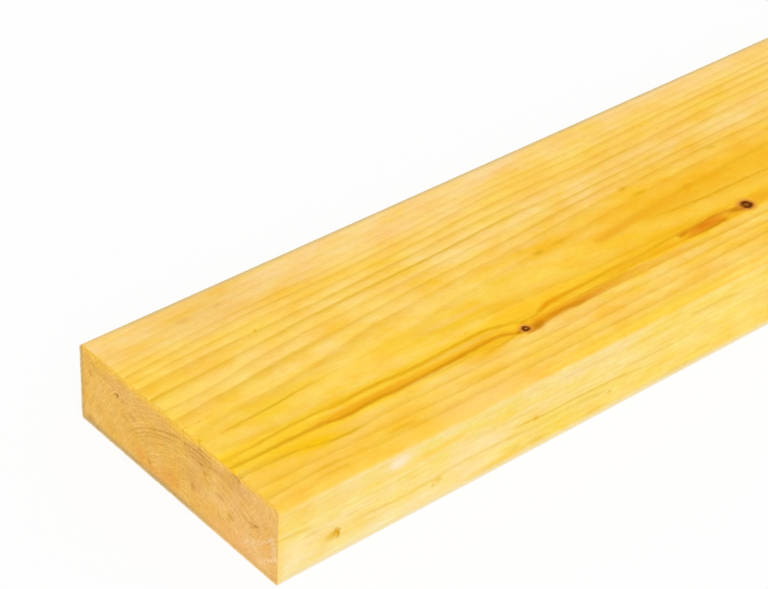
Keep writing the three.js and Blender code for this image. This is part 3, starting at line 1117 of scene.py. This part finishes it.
SAWN_SPOTS = (
    Spot(RUST, 72, 10, 11, 7, 0.6),
    Spot(RUST, 48, 8, 8, 7, 0.6),
    Spot(RUST, 62, 5, 14, 6, 0.5),
    Spot(PEACH, 33, 34, 12, 9, 0.5),
    Spot(PEACH, 118, 6, 34, 9, 0.5),
    Spot(PEACH, 92, 17, 9, 9, 0.4),
    Spot(RUST, 6, 38, 4, 8, 0.3),
    Spot(PIT, 29, 31, 2.9, 1.9, 0.9),
    Spot(DULL, 34.5, 31, 3, 1.8, 0.6),
    Spot(DULL, 41.6, 26.4, 4.6, 2.6, 0.6),
    Spot(DULL, 36, 22.5, 4, 2.4, 0.35),
    Spot(DARK_OLIVE, 11, 38, 3.4, 2.6, 0.35),
    Spot(DULL, 8.5, 32, 2.4, 3.4, 0.5),
    Spot(DULL, 4.5, 23, 2, 3, 0.5),
    Spot(DULL, 7.5, 4.5, 6, 3.4, 0.6),
    # Painted highlight on the saw marks by the near side.
    Spot(CREAM, 147, 19.5, 4, 9, 0.3),
    Spot(DULL, 93, 35, 15, 9, 0.4),
    Spot(TORN, 94.6, 33, 2, 1.8, 0.25),
    Spot(TORN, 82.6, 37.8, 1.8, 2.4, 0.4),
    Spot(TORN, 97.4, 29.6, 1.3, 2, 0.4),
    Spot(DULL, 88, 22, 14, 10, 0.3),
    Spot(DULL, 88, 16, 2.6, 4, 0.7),
    Spot(DULL, 116.2, 17.2, 4, 2.2, 0.6),
    Spot(DULL, 108, 24, 5, 3, 0.4),
    Spot(DULL, 133, 24, 6, 5, 0.3),
    Spot(DULL, 54.4, 8.4, 3.4, 2.6, 0.6),
    # Painted light: two brighter yellow patches at the end's upper rim, in the lit upper face's
    # colour.
    Spot(RIM_YELLOW, 80, 42, 16, 4, 0.7),
    Spot(RIM_YELLOW, 16, 40.5, 9, 3, 0.6),
    # These four spots darken the end's upper rim at the two chips: partly torn wood, partly painted
    # shade.
    Spot(DULL, 120, 38, 16, 8, 0.3),
    Spot(DULL, 119.4, 42.9, 4.4, 1.8, 0.8),
    Spot(TORN, 122.2, 41.6, 2, 1.8, 0.5),
    Spot(DULL, 93.2, 41, 3, 1.4, 0.5),
)


def streak_share(streak, along, offset):
    """How far a streak shows at each place: along its line, and across it out to its width."""
    middle = curve(along, [(place, across) for place, across, share in streak.line])
    share = curve(along, [(place, share) for place, across, share in streak.line])
    return hump(offset, middle, streak.width) * share


def spotted(colour, spots, along, offset):
    place = joined(along, offset)
    for spot in spots:
        apart = away(place, (spot.along, spot.offset), (spot.half_length, spot.half_width))
        colour = mixed(colour, spot.colour, smooth(apart, 1, 0, spot.share))
    return colour


def streaked(colour, streaks, along, offset):
    for streak in streaks:
        colour = mixed(colour, streak.colour, streak_share(streak, along, offset))
    return colour


# ---- Knots ---------------------------------------------------------------------------------

Heart = namedtuple("Heart", "along across half_length half_width pith_share")
PIN_HEART = Heart(172.9, 30.6, 2.4, 2.4, 0.9)
BRANCH_HEART = Heart(333.4, 39.4, 3.9, 3.7, 0.4)

Layer = namedtuple("Layer", "colour outer inner share")
KNOT_LAYERS = (
    Layer(KNOT_HALO, 1.8, 1.2, 0.75),
    Layer(KNOT_RIM, 1.3, 0.95, 0.8),
    Layer(KNOT_DARK, 1.05, 0.65, 1),
)
PITH_OUTER, PITH_INNER = 0.45, 0.05
KNOT_WOBBLE = Lumps((1.8, 1.6, 8), strength=0.16)


def knotted(colour, wood, heart):
    """The colour with a branch in it, which widens from the pith up to the upper face."""
    grown = (wood.up - THICKNESS) / PITH_BELOW_TOP + 1
    middle = PITH_ACROSS + (heart.across - PITH_ACROSS) * grown
    lengthways = (wood.along - heart.along) / heart.half_length
    sideways = (wood.across - middle) / heart.half_width
    apart = distance(lengthways, sideways) / grown * wood.waved(1, KNOT_WOBBLE)
    for layer in KNOT_LAYERS:
        share = smooth(apart, layer.outer, layer.inner, layer.share)
        colour = mixed(colour, layer.colour, share)
    return mixed(colour, KNOT_PITH, smooth(apart, PITH_OUTER, PITH_INNER, heart.pith_share))


# ---- Planed faces --------------------------------------------------------------------------

class Ramp(namedtuple("Ramp", "axis start end")):
    """Grows from 0 at start to 1 at end."""

    def share(self, axes):
        return smooth(axes[self.axis], self.start, self.end)


class Peak(namedtuple("Peak", "axis middle half")):
    """1 at the middle, and 0 at half on either side of it."""

    def share(self, axes):
        return hump(axes[self.axis], self.middle, self.half)


# Each zone's colours show where all its bounds do, and later zones lie over earlier ones.
Zone = namedtuple("Zone", "pair bounds strength", defaults=(1,))
UPPER_ZONES = (
    Zone(NEAR_END, (Ramp("along", 50, 5),), 0.9),
    Zone(PALE, (Ramp("pale_across", 114, 138),)),
    Zone(DUN, (Peak("along", 62, 52), Ramp("across", 112, 128))),
    Zone(FAR_GOLD, (Ramp("along", 230, 290), Peak("across", 113, 26)), 0.6),
    Zone(PALE, (Peak("across", 99, 24), Ramp("along", 100, 190)), 0.4),
    Zone(EDGE, (Ramp("across", 28, 16),)),
    Zone(GOLDEN, (Peak("across", 56, 20), Ramp("along", -20, 60))),
    Zone(LEMON, (Ramp("resin_across", 31, 36), Ramp("across", 47, 42))),
    Zone(RESINOUS, (
        Ramp("resin_across", 33, 38),
        Ramp("across", 53, 44),
        Ramp("along", 130, 180),
        Ramp("along", 560, 400),
    )),
    Zone(ORANGE, (Peak("across", 67, 44), Ramp("along", 150, 320), Ramp("along", 620, 430))),
)
SIDE_ZONES = (
    Zone(SIDE, ()),
    Zone(SIDE_PALE, (Ramp("up", 14, 7), Ramp("along", 100, 70))),
    # Painted light: paler under the upper arris, where the near side is lit brighter.
    Zone(SIDE_PALE, (Peak("up", 37.5, 6),), 0.5),
    Zone(SIDE_LOW, (Ramp("along", 110, 150), Ramp("up", 23, 14), Ramp("along", 240, 200))),
    Zone(SIDE_FAR, (Ramp("along", 190, 250),)),
    Zone(EDGE, (Ramp("along", 60, 5), Ramp("up", 28, 38)), 0.4),
)
ZONE_DRIFT = Lumps((90, 12, 12))
DRIFT_ALONG, DRIFT_ACROSS, DRIFT_UP = 40, 2.5, 3
RESIN_SHIFT = Shift(5, 220, 170)
PALE_SHIFT = Shift(-9, 200, 280)

# A pair of places says where a look begins and where it is full, or gives a band's middle and
# half its width.
UPPER_FACE_UP = (40, 43)
NEAR_SIDE_ACROSS = (3, 1)
NEAR_SIDE_UP = (43.2, 39.6)
NEAR_SIDE_WAVES = (Lumps((25, 3, 3), strength=0.9), Lumps((7, 1.5, 1.5), strength=0.6))
FAR_SIDE_ACROSS = (148.6, 149.8)

CLEAR_BAND = (54, 15)
CLEAR_ALONG = (70, 15)
CLEAR_FADING = 0.8
SIDE_FADING = 0.5

MOTTLE = Lumps((60, 20, 20), 3, strength=0.8)
BLOTCH = Lumps((18, 8, 8), 3, strength=1.15)
PLANED_TONE = Tone(0.02, 0.14, Lumps((20, 10, 10), 3, 0.55, 0.13))
CALM_ACROSS = (95, 125)
FAR_CALM = 0.45
SIDE_CALM = 0.3

RAGGED = Lumps((7, 1.6, 1.6))
RAGGED_ALONG, RAGGED_ACROSS, RAGGED_UP = 2.5, 0.8, 0.6

# Patchy tints along the far upper arris and the near lower arris; the cream band at the near side's
# lower rim is painted light.
ARRIS_PATCHES = Lumps((9, 3, 3), strength=0.5)
FAR_ARRIS_ACROSS = (144.2, 146.8)
FAR_ARRIS_ALONG = (-20, 40)
LOW_ARRIS_UP = (5, 2.6)
ARRIS_TINT_SHARE = 0.8
LOW_RIM_UP = (2.4, 1.2)
LOW_RIM_PAINTED_LIGHT = 0.7
END_RIM_ALONG = (5, 0)
END_RIM_SHARE = 0.4

FIBRES = Lumps((18, 0.6, 0.6), 3, 0.6, 0.5)
FLECKS = Lumps((4, 1.4, 1.4), 4, 0.7, 1.4)
FIBRE_TINT = (0.05, 0.09, 0.22)
PLANED_ROUGHNESS = 0.55
LATEWOOD_SHEEN = 0.1
FIBRE_ROUGHNESS = 0.08
FIBRE_RELIEF = 0.02
LATEWOOD_RELIEF = 0.03


def zone_axes(wood):
    """The axes that the zones are laid out along, which drift so that no bound is straight."""
    drift = wood.noise(ZONE_DRIFT)
    along = wood.along + DRIFT_ALONG * drift
    across = wood.across + DRIFT_ACROSS * drift
    return {
        "along": along,
        "across": across,
        "up": wood.up + DRIFT_UP * drift,
        "resin_across": shifted(across, along, RESIN_SHIFT),
        "pale_across": shifted(across, along, PALE_SHIFT),
    }


def planed_pair(wood, near_side):
    """Early and late wood's colours, as they change over the planed faces."""
    axes = zone_axes(wood)
    early, late = GENERAL
    for zones, faces in ((UPPER_ZONES, ()), (SIDE_ZONES, (near_side,))):
        for zone in zones:
            share = reduce(mul, [*faces, *(bound.share(axes) for bound in zone.bounds)])
            if zone.strength < 1:
                share = share * zone.strength
            early = mixed(early, zone.pair.early, share)
            late = mixed(late, zone.pair.late, share)
    return early, late


def planed_tone(wood, near_side, dark):
    """The wood's own colour, with its slow changes of tone."""
    early, late = planed_pair(wood, near_side)
    lively = 1 - smooth(wood.across, *CALM_ACROSS, FAR_CALM) - SIDE_CALM * near_side
    blotches = BLOTCH.strength * wood.noise(BLOTCH) * lively
    drift = MOTTLE.strength * wood.noise(MOTTLE) + blotches
    return toned(mixed(early, late, dark), wood, drift, PLANED_TONE)


def arris_toned(colour, wood, near_side):
    """Greyer along two arrises, painted light on the near side's lower rim, yellower by the end."""
    uneven = wood.waved(1, ARRIS_PATCHES)
    far_arris = smooth(wood.across, *FAR_ARRIS_ACROSS) * smooth(wood.up, *UPPER_FACE_UP)
    far_arris = far_arris * smooth(wood.along, *FAR_ARRIS_ALONG)
    low_arris = near_side * smooth(wood.up, *LOW_ARRIS_UP)
    colour = mixed(colour, GREY, far_arris * uneven * ARRIS_TINT_SHARE)
    colour = mixed(colour, SILVER, low_arris * uneven * ARRIS_TINT_SHARE)
    # Painted light: a paler band along the near side's lower rim, where the arris turns down.
    colour = mixed(colour, CREAM, near_side * smooth(wood.up, *LOW_RIM_UP, LOW_RIM_PAINTED_LIGHT))
    by_end = near_side * smooth(wood.along, *END_RIM_ALONG)
    return mixed(colour, EDGE.early, by_end * END_RIM_SHARE)


def planed_marks(colour, wood, upper_face, near_side):
    """The colour with the streaks, spots, knots, arris tints and painted light and shade on the
    planed faces.
    """
    ragged = wood.noise(RAGGED)
    along = wood.along + RAGGED_ALONG * ragged
    across = wood.across + RAGGED_ACROSS * ragged
    up = wood.up + RAGGED_UP * ragged
    above = streaked(spotted(colour, UPPER_SPOTS, along, across), UPPER_STREAKS, along, across)
    beside = streaked(spotted(colour, SIDE_SPOTS, along, up), SIDE_STREAKS, along, up)
    colour = mixed(mixed(colour, above, upper_face), beside, near_side)
    for heart in (PIN_HEART, BRANCH_HEART):
        colour = knotted(colour, wood, heart)
    colour = mixed(colour, spotted(colour, KNOT_SPOTS, along, wood.across), upper_face)
    return arris_toned(colour, wood, near_side)


def planed_softwood():
    wood = Wood("planed_softwood")
    upper_face = smooth(wood.up, *UPPER_FACE_UP)
    height = wood.waved(wood.up, *NEAR_SIDE_WAVES)
    near_side = smooth(wood.across, *NEAR_SIDE_ACROSS) * smooth(height, *NEAR_SIDE_UP)
    far_side = smooth(wood.across, *FAR_SIDE_ACROSS)
    clear = hump(wood.across, *CLEAR_BAND) * smooth(wood.along, *CLEAR_ALONG)
    dark = latewood(wood, ring_radius(wood)) * (1 - SIDE_FADING * near_side + far_side)
    dark = dark * (1 - CLEAR_FADING * clear)
    colour = planed_tone(wood, near_side, dark)
    colour = planed_marks(colour, wood, upper_face, near_side)
    fibres = wood.noise(FIBRES)
    shade = FIBRES.strength * fibres + FLECKS.strength * wood.noise(FLECKS)
    colour = shaded(colour, shade, FIBRE_TINT)
    roughness = PLANED_ROUGHNESS - LATEWOOD_SHEEN * dark + FIBRE_ROUGHNESS * fibres
    return wood.finish(colour, roughness, FIBRE_RELIEF * fibres + LATEWOOD_RELIEF * dark)


# ---- Sawn ends -----------------------------------------------------------------------------
# Here "left" is the distance from the far narrow side, which lies left as the camera sees the
# near end.

GRAIN_RUN = 75
END_GRAIN = Lumps((0.8, 8, 2), 3, 0.6, 0.26)
END_RAYS = Lumps((5, 0.9, 2), 3, 0.6, 0.22)
SAW_FUZZ = Lumps((0.7, 0.7, 0.7), 2, 0.6, 0.2)
END_GRAIN_TINT = (1, 1.2, 1.6)

SAWN_PATCHES = Lumps((10, 14, 14))
SAWN_PATCH_STEP = (-0.3, 0.4)
PLAIN_PATCH_RINGS = 0.2
CLEAR_PATCH_GAIN = 0.6
CLEAREST_LEFT = (62, 44)
FAINTEST_RINGS = 0.25

SAWN_MOTTLE = Lumps((4, 9, 9), 3, 0.6, 0.3)
SAWN_BLOTCH = Lumps((2, 14, 14), 3, strength=0.75)
SAWN_TONE = Tone(0.1, 0.26, Lumps((2, 11, 11), 3, strength=0.08))
SAWN_PALE_LEFT = (84, 134)
SAWN_PALE_WANDER = 14

# The end's upper strip: the upper face's yellow, painted brighter to match the lit upper face.
RIM_UP = (40, 45.4)
RIM_TEETH = Lumps((2, 1.8, 3), strength=2.2)
RIM_BLOTCH = 2.4

SAWN_RAGGED = Lumps((2, 2.2, 2.2), strength=0.8)
SAWN_STREAKS_SHOWN = 0.8
SAWN_STREAK_BREAKS = Lumps((2, 1.4, 1.4), strength=1.6)
SAWN_STREAK_GRAIN = 1.2

# Painted shade along the end's lower and left edges, and a painted light rim along both.
EDGE_SHADE_UP = (5.4, 1.4)
EDGE_SHADE_LEFT = (4, 1)
EDGE_SHADE_BLOTCH = 0.4
EDGE_SHADE_THINS_LEFT = (70, 115)
EDGE_SHADE_THINS_BY = 0.65
PAINTED_LIGHT_RIM = (1.8, 0.3)
PAINTED_LIGHT_RIM_SHARE = 0.5

SAWN_ROUGHNESS = 0.75
FUZZ_ROUGHNESS = 0.1
FUZZ_RELIEF = 0.06
GRAIN_RELIEF = 0.1
RING_RELIEF = 0.05


def sawn_rings(wood, left, radius):
    """The growth rings on the sawn end, which the saw has left clearer in some patches."""
    patchy = smooth(wood.noise(SAWN_PATCHES), *SAWN_PATCH_STEP)
    clear = FAINTEST_RINGS + (1 - FAINTEST_RINGS) * hump(left, *CLEAREST_LEFT)
    return latewood(wood, radius) * (PLAIN_PATCH_RINGS + CLEAR_PATCH_GAIN * patchy) * clear


def sawn_tone(wood, left, dark, blotch):
    """The end grain's colour and tone, and a jagged upper strip of the upper face's yellow in
    painted light.
    """
    mottle = wood.noise(SAWN_MOTTLE)
    pale = smooth(left + SAWN_PALE_WANDER * mottle, *SAWN_PALE_LEFT)
    early = mixed(SAWN.early, SAWN_PALE.early, pale)
    late = mixed(SAWN.late, SAWN_PALE.late, pale)
    drift = SAWN_MOTTLE.strength * mottle + SAWN_BLOTCH.strength * blotch
    colour = toned(mixed(early, late, dark), wood, drift, SAWN_TONE)
    jagged = RIM_BLOTCH * blotch + RIM_TEETH.strength * wood.noise(RIM_TEETH)
    # Painted light: the upper strip takes the upper face's yellow, painted brighter to match the
    # lit upper face.
    return mixed(colour, RIM_YELLOW, smooth(wood.up + jagged, *RIM_UP))


def sawn_marks(colour, wood, left, grain):
    """The colour with the streaks and spots that stand out on the near end."""
    ragged = SAWN_RAGGED.strength * wood.noise(SAWN_RAGGED)
    about = left + ragged, wood.up + ragged
    colour = spotted(colour, SAWN_SPOTS, *about)
    broken = wood.waved(SAWN_STREAKS_SHOWN, SAWN_STREAK_BREAKS) + SAWN_STREAK_GRAIN * grain
    return mixed(colour, streaked(colour, SAWN_STREAKS, *about), broken)


def edge_shaded(colour, wood, left, blotch):
    """The colour with painted shade along the end's lower and left edges, and a painted light rim
    on both.
    """
    # Painted shade: a darker, greyer band along the lower and left edges, thinning to the right.
    edge_shade = greater(smooth(wood.up, *EDGE_SHADE_UP), smooth(left, *EDGE_SHADE_LEFT))
    edge_shade = edge_shade * (1 + EDGE_SHADE_BLOTCH * blotch) * (1 - smooth(left, *EDGE_SHADE_THINS_LEFT, EDGE_SHADE_THINS_BY))
    # Painted light: a pale rim along both edges.
    rim = greater(smooth(wood.up, *PAINTED_LIGHT_RIM), smooth(left, *PAINTED_LIGHT_RIM))
    return mixed(mixed(colour, EDGE_SHADE_COLOUR, edge_shade), CREAM, rim * PAINTED_LIGHT_RIM_SHARE)


def sawn_softwood():
    wood = Wood("sawn_softwood")
    left = WIDTH - wood.across
    radius = ring_radius(wood)
    beside, above = from_pith(wood)
    polar = joined(radius, calculate("ARCTAN2", beside, above) * GRAIN_RUN, wood.along)
    grain = wood.noise(END_GRAIN, polar)
    rays = wood.noise(END_RAYS, polar)
    blotch = wood.noise(SAWN_BLOTCH)
    fuzz = wood.noise(SAW_FUZZ)
    dark = sawn_rings(wood, left, radius)
    colour = sawn_tone(wood, left, dark, blotch)
    colour = sawn_marks(colour, wood, left, grain)
    colour = edge_shaded(colour, wood, left, blotch)
    shade = END_GRAIN.strength * grain + END_RAYS.strength * rays + SAW_FUZZ.strength * fuzz
    colour = shaded(colour, shade, END_GRAIN_TINT)
    relief = FUZZ_RELIEF * fuzz + GRAIN_RELIEF * grain + RING_RELIEF * dark
    return wood.finish(colour, SAWN_ROUGHNESS + FUZZ_ROUGHNESS * fuzz, relief)


def add_plank():
    mesh = plank_mesh()
    mesh.materials.append(planed_softwood())
    mesh.materials.append(sawn_softwood())
    plank = bpy.data.objects.new("softwood_plank", mesh)
    bpy.context.scene.collection.objects.link(plank)
    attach(plank, "root")
    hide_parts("plank")


add_camera()
light_sky()
light_sun()
lay_floor()
add_plank()

bpy.context.scene.view_settings.view_transform = "Standard"
